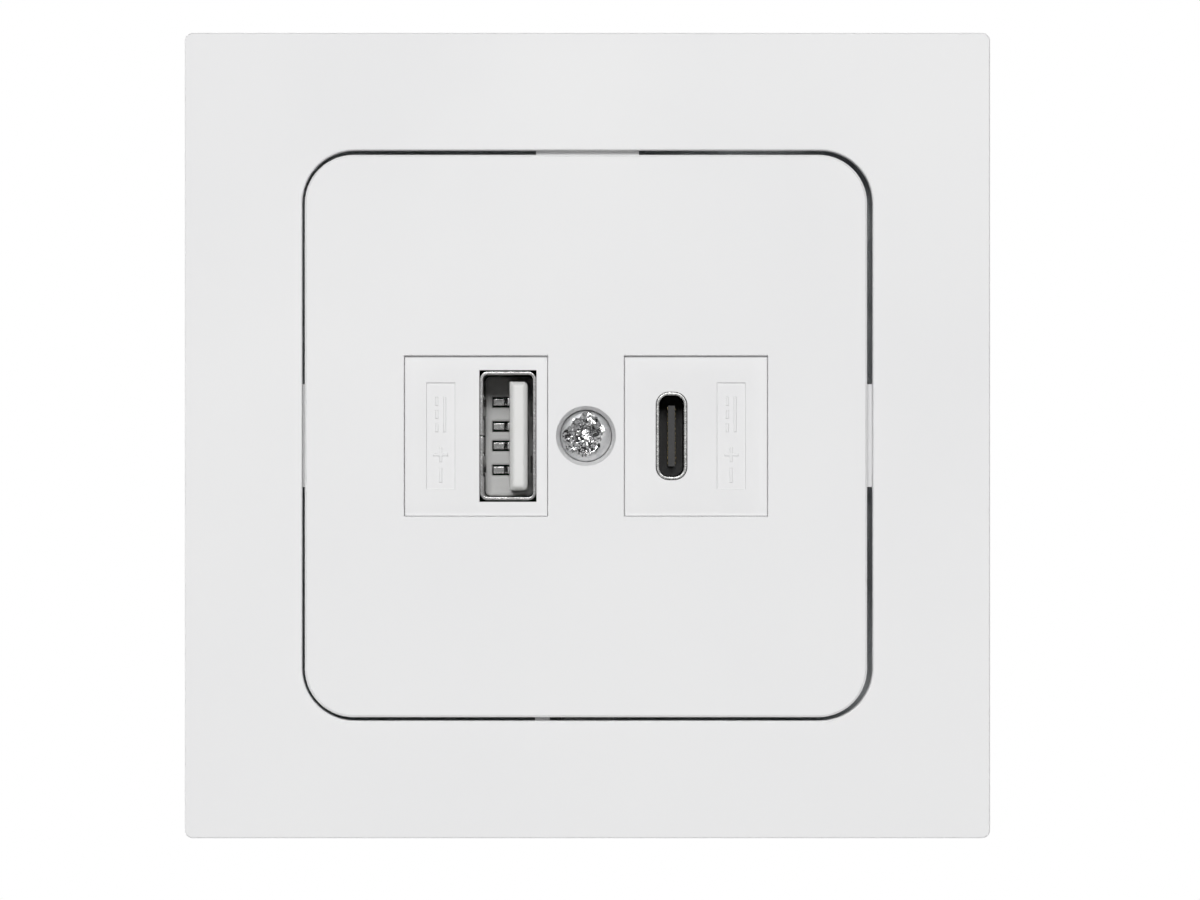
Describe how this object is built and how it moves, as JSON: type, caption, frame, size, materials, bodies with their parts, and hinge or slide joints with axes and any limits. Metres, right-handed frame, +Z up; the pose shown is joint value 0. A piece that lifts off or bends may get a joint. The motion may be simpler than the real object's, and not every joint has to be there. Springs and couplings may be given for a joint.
{
  "type": "usb wall socket",
  "caption": "Square flush wall plate with a USB-A and a USB-C charging port, a middle cover screw, a steel mounting strap, a supply housing and spreader claws.",
  "frame": {"origin": "middle of the four box-screw slots, on the wall plane that the strap and the frame's back rim lie on", "axes": "+X right and +Z up as seen from the room, +Y into the wall"},
  "size_m": [0.0819, 0.0379, 0.082],
  "materials": {
    "white_moulding": "satin",
    "zinc_steel": "zinc plated",
    "nickel_shell": "nickel plated",
    "white_insulator": "moulded",
    "black_insulator": "moulded",
    "gold_contact": "gold flash",
    "circuit_board": "solder mask",
    "chip_case": "moulded",
    "grey_housing": "moulded",
    "brass": "turned",
    "ferrite": "sintered",
    "coil_tape": "tape",
    "capacitor_sleeve": "shrink sleeve"
  },
  "bodies": {
    "socket": {"outer_frame": "white_moulding", "centre_cover": "white_moulding", "cover_screw": "zinc_steel", "usb_a_insert": "white_moulding", "usb_c_insert": "white_moulding", "usb_a_shell": "nickel_shell", "usb_a_insulator": "white_insulator", "usb_a_contacts": "nickel_shell", "usb_c_shell": "nickel_shell", "usb_c_insulator": "black_insulator", "usb_c_contacts": "gold_contact", "port_board": "circuit_board", "port_chip": "chip_case", "front_housing": "grey_housing", "thread_insert": "brass", "mounting_strap": "zinc_steel", "rear_housing": "grey_housing", "housing_screws": "zinc_steel", "power_board": "circuit_board", "transformer_core": "ferrite", "transformer_coil": "coil_tape", "input_capacitors": "capacitor_sleeve", "output_capacitors": "capacitor_sleeve", "fuse": "chip_case", "rectifier": "chip_case", "controller_chip": "chip_case", "link_header": "black_insulator", "link_pins": "gold_contact", "terminal_clamps": "brass", "terminal_screws": "zinc_steel"},
    "right_claw": {"claw_right": "zinc_steel"},
    "left_claw": {"claw_left": "zinc_steel"},
    "right_claw_screw": {"claw_screw_right": "zinc_steel"},
    "left_claw_screw": {"claw_screw_left": "zinc_steel"}
  },
  "joints": [
    {"name": "right_claw_screw_turn", "type": "hinge", "parent": "socket", "child": "right_claw_screw", "pos_m": [0.0244, 0, 0], "axis": [0, 1, 0], "range_deg": [0, 1140]},
    {"name": "left_claw_screw_turn", "type": "hinge", "parent": "socket", "child": "left_claw_screw", "pos_m": [-0.0244, 0, 0], "axis": [0, 1, 0], "range_deg": [0, 1140]},
    {"name": "right_claw_swing", "type": "hinge", "parent": "socket", "child": "right_claw", "pos_m": [0.021, 0.005, 0], "axis": [0, 0, -1], "range_deg": [0, 25]},
    {"name": "left_claw_swing", "type": "hinge", "parent": "socket", "child": "left_claw", "pos_m": [-0.021, 0.005, 0], "axis": [0, 0, 1], "range_deg": [0, 25]}
  ],
  "couplings": [
    {"joint": "right_claw_swing", "follows": "right_claw_screw_turn", "ratio": 0.02193},
    {"joint": "left_claw_swing", "follows": "left_claw_screw_turn", "ratio": 0.02193}
  ]
}
